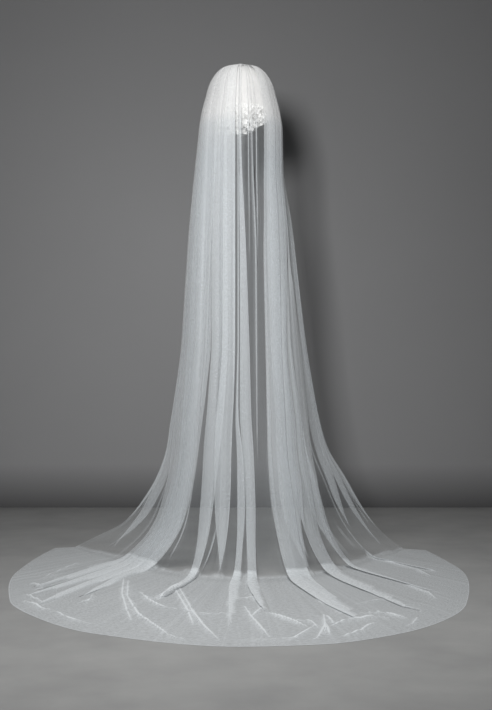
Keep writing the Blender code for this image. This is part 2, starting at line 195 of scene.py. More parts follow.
FOLDS = (
    fold("left_hem_turn", Edge.LEFT,
        (1.06, -127, -120), (1.66, -126.5, -119), (1.82, -126, -121), (1.92, -124, -124)),
    fold("left_side", Edge.RIGHT,
        (1.06, -121, -109), (1.66, -121, -114), (1.82, -119, -116), (1.91, -117, -117)),
    fold("left_outer_wedge", Edge.LEFT,
        (1.06, -106, -88), (1.50, -108, -89), (1.66, -112, -90), (1.73, -113, -95),
        (1.86, -112.5, -97.5), (1.925, -108, -98), (1.963, -99.5, -99), (1.98, -98, -98)),
    fold("left_bundle_outer", Edge.LEFT,
        (1.06, -84, -60), (1.50, -94, -66), (1.66, -92, -64), (1.73, -93, -66), (1.88, -83, -64),
        (1.965, -78, -66), (2.20, -78, -71), (2.55, -72.5, -68.5), (2.84, -67.6, -67.6)),
    fold("left_bundle_second", Edge.LEFT,
        (1.06, -78, -50), (1.50, -84, -56), (1.66, -80, -55), (1.88, -79, -57), (1.965, -76, -60),
        (2.20, -71, -64), (2.60, -64.8, -61), (2.91, -60.4, -60.4)),
    fold("left_bundle_third", Edge.LEFT,
        (1.06, -68, -42), (1.50, -76, -48), (1.66, -76, -51.5), (1.88, -75, -54.5), (1.965, -70, -56),
        (2.20, -64.5, -58.5), (2.60, -57.6, -54.2), (2.92, -51.8, -51.8)),
    fold("left_bundle_inner", Edge.LEFT,
        (1.06, -60, -36), (1.50, -62, -37.5), (1.60, -66, -42.5), (1.73, -70, -49.8),
        (1.88, -66, -53.5), (1.965, -62, -55), (2.20, -59, -55), (2.45, -53, -50.6),
        (2.62, -49.4, -49.4)),
    fold("left_thread", Edge.RIGHT,
        (1.80, -50.4, -50.4), (1.86, -51.6, -50.3), (1.95, -51.2, -50), (1.99, -50.2, -50.2)),
    fold("left_gather_low", Edge.RIGHT,
        (1.06, -50, -32), (1.28, -47, -37.5), (1.50, -47, -40), (1.64, -47, -47)),
    fold("left_narrow_panel", Edge.LEFT,
        (1.06, -38, -19), (1.50, -35, -15.5), (1.66, -39, -20), (1.73, -41.5, -24), (1.845, -39, -27),
        (1.925, -37, -28.5), (1.965, -31.5, -27.5), (2.14, -30.6, -27.2), (2.48, -30, -30)),
    fold("back_thread", Edge.RIGHT,
        (1.06, -27, -27), (1.50, -24.5, -24.5), (1.88, -22.3, -22.3), (1.935, -22.8, -21.6),
        (1.97, -24.9, -23.7), (1.99, -26.6, -26.6)),
    fold("left_gather_high", Edge.LEFT,
        (1.06, -33, -27), (1.28, -31.5, -27.5), (1.50, -29, -27), (1.66, -25, -25)),
    fold("back_speckled_panel", Edge.LEFT,
        (1.06, -24, -7.2), (1.50, -22, -7.2), (1.60, -25.5, -8.4), (1.66, -28, -10), (1.73, -29, -11),
        (1.845, -25.5, -11.5), (1.925, -21, -13.5), (1.985, -14.5, -14.5)),
    fold("back_gather", Edge.RIGHT,
        (1.06, -12, -7.8), (1.28, -10.8, -7.4), (1.50, -10.4, -7.4), (1.60, -9.4, -9.4)),
    fold("back_narrow_line", Edge.RIGHT,
        (1.06, -4.6, -3.2), (1.50, -5, -3.4), (1.60, -6.6, -4.2), (1.66, -7.5, -4), (1.73, -6, 0.8),
        (1.845, -6, 1.5), (1.925, -6, -1), (1.965, -6.2, -3.6), (2.00, -6.6, -3.6), (2.06, -8.4, -2.8),
        (2.13, -8, -2.8), (2.355, -5.5, -2.8), (2.62, -3.7, -2.9), (2.90, -2.2, -2.2)),
    fold("back_middle_panel", Edge.RIGHT,
        (1.06, -3, 0.5), (1.28, -2.6, 5.6), (1.50, -2.8, 8.4), (1.66, -3.4, 9), (1.73, 0, 10.5),
        (1.845, 1.5, 9.5), (1.925, 0.2, 7.8), (1.965, 1.4, 6), (2.00, 0.4, 5.2), (2.08, -0.2, 6),
        (2.57, 6, 6)),
    fold("window_thread_left", Edge.LEFT,
        (1.06, 9.5, 10.5), (1.28, 9, 9.6), (1.35, 9.2, 9.2)),
    fold("window_thread_middle", Edge.LEFT,
        (1.06, 14.2, 15.6), (1.28, 16, 18.4), (1.50, 14.8, 16.6), (1.70, 13.5, 14.2),
        (1.80, 13.5, 13.5)),
    fold("window_thread_right", Edge.LEFT,
        (1.06, 21, 22), (1.28, 19.5, 20), (1.33, 19.6, 19.6)),
    fold("right_bundle_front", Edge.RIGHT,
        (1.06, 33, 54), (1.28, 26.8, 50), (1.50, 26.5, 46), (1.66, 24.8, 45), (1.845, 22.5, 42),
        (1.925, 23.8, 41), (1.965, 22, 37), (2.10, 21, 34), (2.50, 24, 30), (2.763, 27.5, 27.5)),
    fold("right_bundle_second", Edge.RIGHT,
        (1.06, 38, 64), (1.28, 32, 58), (1.50, 33.5, 53.5), (1.66, 35, 52), (1.845, 30, 46),
        (1.925, 33, 42), (1.985, 37, 37)),
    fold("right_bundle_third", Edge.RIGHT,
        (1.06, 46, 74), (1.28, 39, 63.5), (1.50, 37, 50.5), (1.66, 38, 55), (1.845, 36, 47),
        (1.95, 40, 40)),
    fold("right_bundle_outer", Edge.RIGHT,
        (1.06, 58, 80), (1.28, 47, 63.5), (1.50, 44, 51.5), (1.66, 43, 57), (1.80, 44, 52),
        (1.90, 46, 46)),
    fold("right_fan_inner", Edge.RIGHT,
        (1.06, 66, 70), (1.28, 59, 63), (1.50, 54.5, 59.5), (1.66, 55, 66), (1.845, 46, 60),
        (1.925, 45, 56), (2.20, 43, 50), (2.797, 45, 45)),
    fold("right_panel", Edge.RIGHT,
        (1.06, 74, 76), (1.30, 68, 70), (1.50, 61, 79), (1.66, 60, 77), (1.73, 58, 75),
        (1.858, 56, 66), (1.925, 58, 64.5), (1.955, 63, 63)),
    fold("right_fan_outer", Edge.RIGHT,
        (1.66, 68, 68), (1.845, 62.5, 68), (1.925, 61, 66), (2.20, 58, 63), (2.75, 62, 62)),
    fold("right_thread_low", Edge.LEFT,
        (1.66, 70, 70), (1.90, 64.5, 64.5), (1.935, 63.8, 65.3), (1.97, 67.2, 68.6), (1.985, 70, 70)),
    fold("right_thread_middle", Edge.LEFT,
        (1.66, 73, 73), (1.91, 73, 73), (1.93, 74.2, 75.6), (1.96, 77.6, 78.9), (1.985, 81, 81)),
    fold("right_thread", Edge.LEFT,
        (1.68, 75.5, 75.5), (1.73, 76.8, 77.9), (1.853, 80.6, 81.8), (1.953, 82.4, 83.6),
        (2.10, 83, 84.5), (2.50, 83, 84.4), (2.725, 83.5, 83.5)),
    fold("right_outer_wedge", Edge.RIGHT,
        (1.06, 91, 101), (1.28, 91, 99), (1.50, 87, 97), (1.66, 82, 100), (1.73, 86, 100),
        (1.845, 84.5, 91), (1.913, 87, 87)),
    fold("right_outline_fold", Edge.RIGHT,
        (1.06, 96, 112), (1.50, 97, 109), (1.66, 99, 108), (1.845, 101, 107.5), (1.925, 102, 107),
        (1.985, 104.5, 104.5)),
    fold("right_side", Edge.LEFT,
        (1.06, 108, 118), (1.66, 110, 118), (1.84, 113, 117), (1.93, 115, 115)),
    fold("right_hem_turn", Edge.RIGHT,
        (1.06, 119, 127), (1.66, 119, 126.5), (1.84, 120, 126), (1.94, 123, 123)),
)

DEPTH_ROWS = (
    DepthRow(0.00, 0.0006),
    DepthRow(0.50, 0.0014),
    DepthRow(1.00, 0.0030),
    DepthRow(1.40, 0.0060),
    DepthRow(1.85, 0.0065),
    DepthRow(2.00, 0.0036),
    DepthRow(2.30, 0.0024),
    DepthRow(3.00, 0.0015),
)

RIDGES = (
    ridge(0.006, 0.008, (-0.365, -0.18), (-0.345, -0.435), (-0.31, -0.655), (-0.285, -0.785)),
    ridge(0.006, 0.010, (-0.35, -0.20), (-0.325, -0.48), (-0.275, -0.71), (-0.175, -0.955), (-0.13, -1.0)),
    ridge(0.006, 0.009, (-0.30, -0.385), (-0.26, -0.525), (-0.225, -0.595), (-0.175, -0.635)),
    ridge(0.0065, 0.009, (-0.265, -0.51), (-0.23, -0.49), (-0.205, -0.36), (-0.175, -0.26)),
    ridge(0.006, 0.008, (-0.20, -0.33), (-0.145, -0.655), (-0.12, -0.835)),
    ridge(0.006, 0.010, (-0.185, -0.33), (-0.13, -0.675), (-0.09, -0.865), (-0.05, -1.0)),
    ridge(0.006, 0.004, (-0.14, -0.675), (-0.085, -0.70), (-0.035, -0.69)),
    ridge(0.006, 0.007, (-0.51, -0.655), (-0.45, -0.765), (-0.385, -0.82)),
    ridge(0.006, 0.008, (-0.62, -0.525), (-0.585, -0.565), (-0.545, -0.635), (-0.515, -0.645)),
    ridge(0.006, 0.007, (-0.63, -0.435), (-0.56, -0.54)),
    ridge(0.006, 0.006, (-0.655, -0.285), (-0.63, -0.265), (-0.595, -0.33)),
    ridge(0.0065, 0.006, (-0.46, -0.55), (-0.43, -0.525), (-0.43, -0.435)),
    ridge(0.006, 0.008, (0.315, -0.70), (0.385, -0.685), (0.445, -0.755)),
    ridge(0.006, 0.008, (0.235, -0.85), (0.275, -0.785), (0.32, -0.765), (0.355, -0.735), (0.40, -0.75)),
    ridge(0.006, 0.008, (0.255, -0.965), (0.31, -0.90), (0.335, -0.835), (0.355, -0.81)),
    ridge(0.006, 0.005, (0.425, -0.85), (0.45, -0.82), (0.475, -0.735)),
    ridge(0.0065, 0.008, (0.225, -0.70), (0.22, -0.85), (0.195, -0.975), (0.18, -1.0)),
    ridge(0.007, 0.006, (0.23, -0.715), (0.245, -0.815)),
    ridge(0.007, 0.007, (0.225, -0.835), (0.225, -0.94)),
    ridge(0.007, 0.006, (0.0, -1.0), (0.135, -0.985), (0.16, -0.925), (0.195, -0.84)),
    ridge(0.007, 0.006, (0.135, -0.775), (0.185, -0.79), (0.20, -0.865)),
    ridge(0.006, 0.009, (0.075, -0.685), (0.135, -0.785), (0.175, -0.86)),
    ridge(0.007, 0.008, (0.01, -0.59), (0.03, -0.745), (0.075, -0.975)),
    ridge(0.007, 0.006, (0.03, -0.745), (0.06, -0.615)),
    ridge(0.006, 0.005, (-0.005, -0.49), (0.03, -0.49), (0.04, -0.45)),
    ridge(0.0065, 0.004, (0.325, -0.565), (0.425, -0.48)),
    ridge(0.007, 0.005, (-0.55, 0.12), (-0.60, -0.10), (-0.63, -0.20)),
    ridge(0.007, 0.006, (0.48, 0.16), (0.57, -0.02), (0.60, -0.14)),
    ridge(0.0065, 0.006, (0.50, -0.28), (0.55, -0.40), (0.56, -0.50)),
)


class Curve:
    """A smooth line through a short table, which never overshoots its rows."""

    def __init__(self, keys: list[float], values: list[float]) -> None:
        """Sort the rows by key and work out a slope at each.

        Args:
            keys: where each row stands.
            values: the value of each row.
        """
        order = np.argsort(keys)
        self.keys = np.array(keys, float)[order]
        self.values = np.array(values, float)[order]
        steps = np.diff(self.values) / np.diff(self.keys)
        before, after = steps[:-1], steps[1:]
        product = before * after
        total = np.where(before + after == 0.0, 1.0, before + after)
        inner = np.where(product > 0.0, 2.0 * product / total, 0.0)
        self.slopes = np.concatenate(([steps[0]], inner, [steps[-1]]))

    def __call__(self, at: np.ndarray | float) -> np.ndarray:
        """Read the line.

        Args:
            at: one place or an array of places.

        Returns:
            The values there, held at the end rows outside the table.
        """
        place = np.clip(at, self.keys[0], self.keys[-1])
        index = np.clip(np.searchsorted(self.keys, place, side="right") - 1, 0, len(self.keys) - 2)
        span = self.keys[index + 1] - self.keys[index]
        t = (place - self.keys[index]) / span
        low, high = self.values[index], self.values[index + 1]
        rise = (t**3 - 2 * t**2 + t) * self.slopes[index] * span
        fall = (t**3 - t**2) * self.slopes[index + 1] * span
        return (2 * t**3 - 3 * t**2 + 1) * low + rise + (3 * t**2 - 2 * t**3) * high + fall

    @staticmethod
    def of(rows: tuple, key: str, column: str) -> Curve:
        """A curve through one column of a table of named rows."""
        return Curve([getattr(row, key) for row in rows], [getattr(row, column) for row in rows])


@dataclass
class Drape:
    """The smooth form of the veil, before it has any folds."""

    depth_ratio: float = 0.95
    gather_reach: float = 0.026
    gather_y: float = 0.016
    foot_height: float = 0.130
    foot_sweep: float = 0.060
    foot_power: float = 2.2
    longest_lying: float = 0.94
    angle_step: float = 0.5
    station_step: float = 0.01

    def __post_init__(self) -> None:
        """Make a curve of each column of the tables."""
        self.reach = Curve.of(CROWN_ROWS, "height", "reach")
        self.left_flare = Curve.of(BELL_ROWS, "height", "left_flare")
        self.right_flare = Curve.of(BELL_ROWS, "height", "right_flare")
        self.touch_x = Curve.of(PLAN_ROWS, "angle", "touch_x")
        self.touch_y = Curve.of(PLAN_ROWS, "angle", "touch_y")
        self.hem_x = Curve.of(PLAN_ROWS, "angle", "hem_x")
        self.hem_y = Curve.of(PLAN_ROWS, "angle", "hem_y")

    def crown(self, angle: np.ndarray, station: float) -> np.ndarray:
        """Points over the crown, at a station from 0 to 1."""
        place = station * (len(CROWN_ROWS) - 1)
        index = min(int(place), len(CROWN_ROWS) - 2)
        share = place - index
        height = CROWN_ROWS[index].height * (1 - share) + CROWN_ROWS[index + 1].height * share
        reach = float(self.reach(height))
        widest = CROWN_ROWS[-1].reach
        shift = self.gather_y * (widest - reach) / (widest - self.gather_reach)
        turn = np.radians(angle)
        x = reach * np.sin(turn)
        y = -reach * self.depth_ratio * np.cos(turn) + shift
        return np.stack((x, y, np.full_like(x, height)), axis=-1)

    def hanging(self, angle: np.ndarray, station: float) -> np.ndarray:
        """Points down the hanging bell, at a station from 1 to 2."""
        height = CROWN_ROWS[-1].height * (2.0 - station)
        top = self.crown(angle, 1.0)
        side = 0.5 + 0.5 * np.sin(np.radians(np.clip(angle, -90.0, 90.0)))
        flare = self.left_flare(height) * (1 - side) + self.right_flare(height) * side
        touch_x, touch_y = self.touch_x(angle), self.touch_y(angle)
        nearness = max(0.0, 1.0 - height / self.foot_height) ** self.foot_power
        sweep = self.foot_sweep * nearness / self.longest_lying
        x = top[:, 0] + (touch_x - top[:, 0]) * flare + (self.hem_x(angle) - touch_x) * sweep
        y = top[:, 1] + (touch_y - top[:, 1]) * flare + (self.hem_y(angle) - touch_y) * sweep
        return np.stack((x, y, np.full_like(x, height)), axis=-1)

    def lying(self, angle: np.ndarray, station: float) -> np.ndarray:
        """Points along the floor, at a station from 2 to 3."""
        share = station - 2.0
        start = self.hanging(angle, 2.0)
        x = start[:, 0] + (self.hem_x(angle) - start[:, 0]) * share
        y = start[:, 1] + (self.hem_y(angle) - start[:, 1]) * share
        return np.stack((x, y, np.zeros_like(x)), axis=-1)

    def points(self, angle: np.ndarray, station: float) -> np.ndarray:
        """Points of the smooth sheet above the floor, at any station from 0 to 3."""
        if station <= 1.0:
            return self.crown(angle, station)
        if station <= 2.0:
            return self.hanging(angle, station)
        return self.lying(angle, min(station, 3.0))

    def normals(self, angle: np.ndarray, station: float) -> np.ndarray:
        """Directions out of the sheet: away from the wearer where it hangs, up where it lies."""
        step = self.angle_step
        across = self.points(angle + step, station) - self.points(angle - step, station)
        inside = np.clip(angle, -EDGE_ANGLE + step, EDGE_ANGLE - step)
        near_edge = np.abs(angle) > EDGE_ANGLE - step
        edge_across = self.points(inside + step, station) - self.points(inside - step, station)
        across[near_edge] = edge_across[near_edge]
        lower = self.points(angle, min(station + self.station_step, 3.0))
        upper = self.points(angle, max(station - self.station_step, 0.0))
        normal = np.cross(lower - upper, across)
        return normal / np.linalg.norm(normal, axis=1, keepdims=True)


class FoldLine:
    """One fold's edges down the sheet: straight runs with their corners a little rounded."""

    rounding = np.linspace(-0.03, 0.03, 7)

    def __init__(self, fold: Fold) -> None:
        """Take the fold's track apart.

        Args:
            fold: the fold and its track.
        """
        self.side = fold.top.value
        self.stations = [row.station for row in fold.track]
        self.lefts = [row.left for row in fold.track]
        self.rights = [row.right for row in fold.track]

    def at(self, station: float) -> tuple[float, float]:
        """The fold's middle and its width at a station, in degrees."""
        near = station + self.rounding
        left = float(np.interp(near, self.stations, self.lefts).mean())
        right = float(np.interp(near, self.stations, self.rights).mean())
        return 0.5 * (left + right), max(right - left, 0.0)


class SheetRow(NamedTuple):
    """One row of the sheet, with a value for each of its columns.

    Body is 1 where the sheet is folded and 2 where it turns over at a fold's edge. Inside is 1
    between a fold's edges. Pinch is how much cloth a wrinkle takes up there, 0 to 1. Side is how
    far it is to one side or the other of the nearest crest, and crest how strong that one is.
    Both are in two lanes, so that two wrinkles side by side don't mix.
    """

    points: np.ndarray
    normals: np.ndarray
    body: np.ndarray
    inside: np.ndarray
    pinch: np.ndarray
    side: np.ndarray
    crest: np.ndarray


class Fade(NamedTuple):
    """A value that is 1 in the upper rows and falls to its least over a length before its end."""

    end: float
    length: float
    least: float

    def over(self, stations: np.ndarray, columns: int) -> np.ndarray:
        """The value for each point of the sheet."""
        fade = np.clip((self.end - stations) / self.length, self.least, 1.0)
        return np.repeat(fade[:, None], columns, axis=1)


@dataclass
class VeilPanel:
    """The whole veil: one panel of soft net, gathered at the crown, hanging and lying."""

    cut_width: float = 3.00
    cut_length: float = 2.66
    cut_area: float = 7.10
    crown_rows: int = 22
    crown_spacing: float = 1.35
    hanging_rows: int = 78
    hanging_spacing: float = 0.86
    lying_rows: int = 66
    lying_spacing: float = 1.10
    lying_end: float = 0.992
    hem_stations: tuple = (2.9975, 3.0)
    arc_steps: int = 1021
    span_segments: int = 3
    fold_places: tuple = (
        -1.0, -0.80, -0.64, -0.545, -0.50, -0.455, -0.30,
        0.0, 0.30, 0.455, 0.50, 0.545, 0.64, 0.80, 1.0,
    )
    turn_rounding: float = 0.05
    layer_end: float = 0.75
    span_share: float = 0.6
    opening_width: float = 0.8
    gap_share: float = 0.3
    fold_fade: float = 0.004
    settle_start: float = 1.86
    settle_length: float = 0.14
    lift: float = 0.0008
    gather_end: float = 0.10
    gather_pull: float = 0.88
    gather_peak: float = 0.0065
    gather_power: float = 0.8
    top_power: float = 0.8
    gather_centre: tuple = (-0.0035, 0.016)
    wrinkles_start: float = 1.97
    wrinkles_growth: float = 0.06
    hem_calm: float = 0.03
    hem_relief: float = 0.15
    wrinkle_taper: float = 0.4
    full_wrinkle: float = 0.008
    crest_hold: float = 0.012
    foot_reach: float = 0.11
    foot_passes: int = 36
    foot_column_passes: int = 4
    bare_stiffness: float = 0.18
    one_layer_cover: float = 0.125
    grazing_layers: float = 5.6
    low_view: float = 0.18
    least_facing: float = 0.20
    least_facing_lying: float = 0.40
    pinch_layers: float = 0.6
    fold_bunching: float = 1.0
    turned_layers: float = 2.4
    foot_dip: float = 0.35
    foot_dip_station: float = 2.015
    foot_dip_reach: float = 0.05
    hanging: Fade = Fade(2.05, 0.35, 0.35)
    backed: Fade = Fade(1.07, 0.17, 0.0)

    def __post_init__(self) -> None:
        """Make each fold's curves and the sheet's smooth form."""
        self.drape = Drape()
        self.gap = Curve.of(DEPTH_ROWS, "station", "gap")
        self.folds = [FoldLine(one) for one in FOLDS]
        self.places = np.array(self.fold_places)

    def stations(self) -> np.ndarray:
        """The rows of the sheet, close together where it rounds on to the floor."""
        crown = np.linspace(0.0, 1.0, self.crown_rows, endpoint=False) ** self.crown_spacing
        hanging = 1.0 + np.linspace(0.0, 1.0, self.hanging_rows, endpoint=False) ** self.hanging_spacing
        lying = 2.0 + np.linspace(0.0, self.lying_end, self.lying_rows) ** self.lying_spacing
        return np.concatenate((crown, hanging, lying, self.hem_stations))

    def zigzag(self) -> np.ndarray:
        """How far a fold carries its cloth across, there, back and there again, from -1 to 1."""
        far = np.abs(self.places)
        straight = np.where(far < 0.5, 2.0 * far, 2.0 - 2.0 * far)
        corner = np.clip(1.0 - np.abs(far - 0.5) / self.turn_rounding, 0.0, 1.0) ** 2
        return -np.sign(self.places) * (straight - self.turn_rounding * corner)

    def layering(self) -> np.ndarray:
        """Which of a fold's three layers each place is in, from -1 below to 1 above."""
        end = self.layer_end
        inner = np.sin(math.pi * np.clip(self.places, -end, end) / (2.0 * end))
        fade = np.clip((1.0 - np.abs(self.places)) / (1.0 - end), 0.0, 1.0)
        return inner * fade * fade * (3.0 - 2.0 * fade)

    def span(self, start: float, end: float) -> np.ndarray:
        """The unfolded cloth between two folds, past its first column, as folded gives it."""
        columns = np.zeros((4, self.span_segments))
        columns[0] = np.linspace(start, end, self.span_segments + 1)[1:]
        return columns

    def folded(self, station: float, angles: np.ndarray, reach: np.ndarray) -> np.ndarray:
        """Carry the cloth of one row to and fro in its folds.

        Args:
            station: how far down the sheet.
            angles: angles from one side edge to the other.
            reach: how far along the smooth row each of them is.

        Returns:
            Four numbers for each column: how far along the row it is, how far it stands out of
            the row, and its body and inside as in SheetRow.
        """
        degrees, widths = np.array([line.at(station) for line in self.folds]).T
        left = np.interp(degrees - 0.5 * widths, angles, reach)
        right = np.interp(degrees + 0.5 * widths, angles, reach)
        middle = np.maximum.accumulate(np.interp(degrees, angles, reach))
        opened = np.clip(widths / self.opening_width, 0.0, 1.0)
        own = np.diff(np.concatenate(([0.0], middle, [reach[-1]]))) * (1.0 / (2.0 + self.span_share))
        zigzag, layering = self.zigzag(), self.layering()
        turned = np.clip(1.0 - np.abs(np.abs(self.places) - 0.5) / self.turn_rounding, 0.0, 1.0)
        gap = float(self.gap(station))
        lying = min(max((station - self.settle_start) / self.settle_length, 0.0), 1.0)
        columns, last = [np.zeros((4, 1))], 0.0
        for index, line in enumerate(self.folds):
            before, after = own[index], own[index + 1]
            width = right[index] - left[index]
            half = 0.5 * width + 0.25 * (before + after) * opened[index]
            centre = middle[index] - 0.25 * (after - before) * opened[index]
            across = centre + np.where(self.places < 0.0, before, after) * self.places + half * zigzag
            apart = min(gap, self.gap_share * width)
            up = apart * (line.side * layering * (1.0 - lying) + (1.0 + layering) * lying)
            past = np.abs(across - 0.5 * (left[index] + right[index])) - 0.5 * width
            inside = np.clip(1.0 - past / self.fold_fade, 0.0, 1.0)
            columns.append(self.span(last, across[0])[:, :-1])
            columns.append(np.stack((across, up, opened[index] * (1.0 + turned), inside)))
            last = across[-1]
        columns.append(self.span(last, reach[-1]))
        return np.concatenate(columns, axis=1)

    def gather(self, points: np.ndarray, station: float) -> None:
        """Draw a row near the top up small, which moves its points."""
        pull = (1.0 - station / self.gather_end) ** 2
        points[:, :2] += (np.array(self.gather_centre) - points[:, :2]) * (self.gather_pull * pull)
        points[:, 2] += self.gather_peak * pull

    def row(self, station: float) -> SheetRow:
        """One row of the sheet, in its folds and wrinkles.

        Args:
            station: how far down the sheet.

        Returns:
            The row.
        """
        angles = np.linspace(-EDGE_ANGLE, EDGE_ANGLE, self.arc_steps)
        smooth = self.drape.points(angles, station)
        reach = np.concatenate(([0.0], np.cumsum(np.linalg.norm(np.diff(smooth, axis=0), axis=1))))
        place, rise, body, inside = self.folded(station, angles, reach)
        angle = np.interp(np.clip(place, 0.0, reach[-1]), reach, angles)
        normals = self.drape.normals(angle, station)
        points = self.drape.points(angle, station) + normals * rise[:, None]
        points[:, 2] += self.lift
        if station < self.gather_end:
            self.gather(points, station)
        relief, pinch, side, crest = self.wrinkled(points[:, :2], station)
        points[:, 2] += relief
        points[:, 2] = np.maximum(points[:, 2], self.lift) + FLOOR_Z
        return SheetRow(points, normals, body, inside, pinch, side, crest)

    @staticmethod
    def beside(wrinkle: Ridge, places: np.ndarray) -> tuple[np.ndarray, np.ndarray, np.ndarray]:
        """Where places on the floor are beside a wrinkle.

        Args:
            wrinkle: the wrinkle.
            places: the places.

        Returns:
            How far each is from it, how far along it that is, 0 to 1, and on which side, 1 or -1.
        """
        line = np.array(wrinkle.line)
        runs = np.linalg.norm(np.diff(line, axis=0), axis=1)
        marks = np.concatenate(([0.0], np.cumsum(runs))) / runs.sum()
        nearest, share = np.full(len(places), np.inf), np.zeros(len(places))
        turn = np.ones(len(places))
        for start, end, length, mark in zip(line, line[1:], runs, marks):
            step = (end - start) / length
            away = places - start
            along = np.clip(away @ step, 0.0, length)
            off = np.linalg.norm(away - along[:, None] * step, axis=1)
            closer = off < nearest
            left = step[0] * away[:, 1] > step[1] * away[:, 0]
            turn = np.where(closer, np.where(left, 1.0, -1.0), turn)
            nearest = np.where(closer, off, nearest)
            share = np.where(closer, mark + along / runs.sum(), share)
        return nearest, share, turn

    def wrinkled(self, places: np.ndarray, station: float) -> tuple:
        """The wrinkles of the train.

        Args:
            places: places seen from above.
            station: how far down the sheet they are.

        Returns:
            The height of the wrinkles there, and the pinch, side and crest of SheetRow.
        """
        count = len(places)
        relief, pinch = np.zeros(count), np.zeros(count)
        side, crest = np.full((2, count), 1.0), np.zeros((2, count))
        if station < self.wrinkles_start:
            return relief, pinch, side, crest
        growth = min(1.0, (station - self.wrinkles_start) / self.wrinkles_growth)
        fade = growth * min(1.0, (3.0 - station) / self.hem_calm + self.hem_relief)
        for number, wrinkle in enumerate(RIDGES):
            nearest, share, turn = self.beside(wrinkle, places)
            taper = np.sin(math.pi * np.clip(share, 0.0, 1.0)) ** self.wrinkle_taper
            strength = taper * np.exp(-((nearest / wrinkle.width) ** 2))
            relief = np.maximum(relief, wrinkle.height * strength)
            full = min(1.0, wrinkle.height / self.full_wrinkle)
            pinch = np.maximum(pinch, strength * full)
            held = full * taper * np.exp(-((nearest / self.crest_hold) ** 2))
            lane = number % 2
            closest = nearest < np.abs(side[lane])
            side[lane] = np.where(closest, turn * nearest, side[lane])
            crest[lane] = np.where(closest, held, crest[lane])
        return relief * fade, pinch * fade, side, crest * fade

    def build(self) -> bpy.types.Object:
        """Lay the grid of the panel out over all its rows.

        Returns:
            The finished object, with a UV map in metres of cloth and the marks its net reads.
        """
        stations = self.stations()
        sheet = SheetRow(*(np.stack(values) for values in zip(*[self.row(at) for at in stations])))
        points = sheet.points
        self.soften_foot(points, stations, sheet.body)
        widest = np.sqrt((np.linalg.norm(np.diff(points, axis=1), axis=2) ** 2).mean(axis=0))
        cloth = np.concatenate(([0.0], np.cumsum(widest))) * self.cut_width / widest.sum()
        down = np.linalg.norm(np.diff(points, axis=0), axis=2)
        length = np.concatenate(([0.0], np.cumsum(np.median(down, axis=1))))
        raw_edge = np.zeros(points.shape[:2])
        raw_edge[-2:, :] = 1.0
        raw_edge[:, [0, -1]] = 1.0
        marks = {
            "net_cover": self.cover(sheet, stations),
            "raw_edge": raw_edge,
            "hanging": self.hanging.over(stations, points.shape[1]),
            "backed": self.backed.over(stations, points.shape[1]),
        }
        for lane in LANES:
            marks[f"crest_side_{lane}"] = sheet.side[:, lane]
            marks[f"crest_{lane}"] = sheet.crest[:, lane]
        return self.make_mesh(points, cloth, length, marks)

    def soften_foot(self, points: np.ndarray, stations: np.ndarray, body: np.ndarray) -> None:
        """Round the sheet where it turns on to the floor, more where a fold stiffens it.

        Args:
            points: the sheet's points, which are moved.
            stations: the station of each row.
            body: where the sheet is folded, 1, or turned over, 2.
        """
        near = np.exp(-(((stations - 2.0) / self.foot_reach) ** 2))[:, None]
        stiff = self.bare_stiffness + (1.0 - self.bare_stiffness) * np.minimum(body, 1.0)
        spread = np.array((0.25, 0.5, 0.25))
        for _ in range(self.foot_column_passes):
            padded = np.pad(stiff, ((0, 0), (1, 1)), mode="edge")
            stiff = spread[0] * padded[:, :-2] + spread[1] * padded[:, 1:-1] + spread[2] * padded[:, 2:]
        weight = (near * stiff)[1:-1, :, None]
        for _ in range(self.foot_passes):
            middle = 0.5 * (points[:-2] + points[2:])
            points[1:-1] += 0.5 * weight * (middle - points[1:-1])
        points[:, :, 2] = np.maximum(points[:, :, 2], FLOOR_Z + self.lift)

    def cover(self, sheet: SheetRow, stations: np.ndarray) -> np.ndarray:
        """How much of what is behind it the net covers, from how it is folded.

        A net turned edge-on to the garment's surface hides more, and so does one that lies flat
        on the floor, which is always seen at a low angle, or is pinched into a wrinkle.

        Args:
            sheet: all the rows of the sheet.
            stations: the station of each row.

        Returns:
            The share that is covered, 0 to 1, for each point.
        """
        points, body = sheet.points, sheet.body * sheet.inside
        facing = np.cross(np.gradient(points, axis=0), np.gradient(points, axis=1))
        size = np.maximum(np.linalg.norm(facing, axis=2, keepdims=True), 1e-12)
        cosine = np.abs((facing / size * sheet.normals).sum(axis=2))
        foot = np.exp(-(((stations - 2.0) / self.foot_reach) ** 2))[:, None]
        cosine = cosine + (1.0 - cosine) * foot
        upward = np.clip(sheet.normals[:, :, 2], 0.0, 1.0)
        seen = self.low_view * upward + np.sqrt(1.0 - upward**2)
        layers = np.minimum(1.0 / seen, self.grazing_layers)
        layers = layers / np.maximum(cosine, self.least_facing + self.least_facing_lying * upward)
        layers = layers * (1.0 + self.pinch_layers * sheet.pinch)
        layers = layers * (1.0 + self.fold_bunching * np.minimum(body, 1.0) ** 3)
        layers = layers + self.turned_layers * np.maximum(body - 1.0, 0.0)
        arc = np.linalg.norm(np.diff(points, axis=1), axis=2).sum(axis=1)
        crown_end = arc[np.searchsorted(stations, 1.0)]
        power = self.gather_power + self.top_power * np.clip(1.0 - stations / self.gather_end, 0.0, 1.0)
        gathered = np.where(stations < 1.0, np.maximum(crown_end / arc, 1.0), 1.0) ** power
        nearness = np.exp(-(((stations - self.foot_dip_station) / self.foot_dip_reach) ** 2))
        layers = layers * (gathered * (1.0 - self.foot_dip * nearness))[:, None]
        return 1.0 - (1.0 - self.one_layer_cover) ** layers

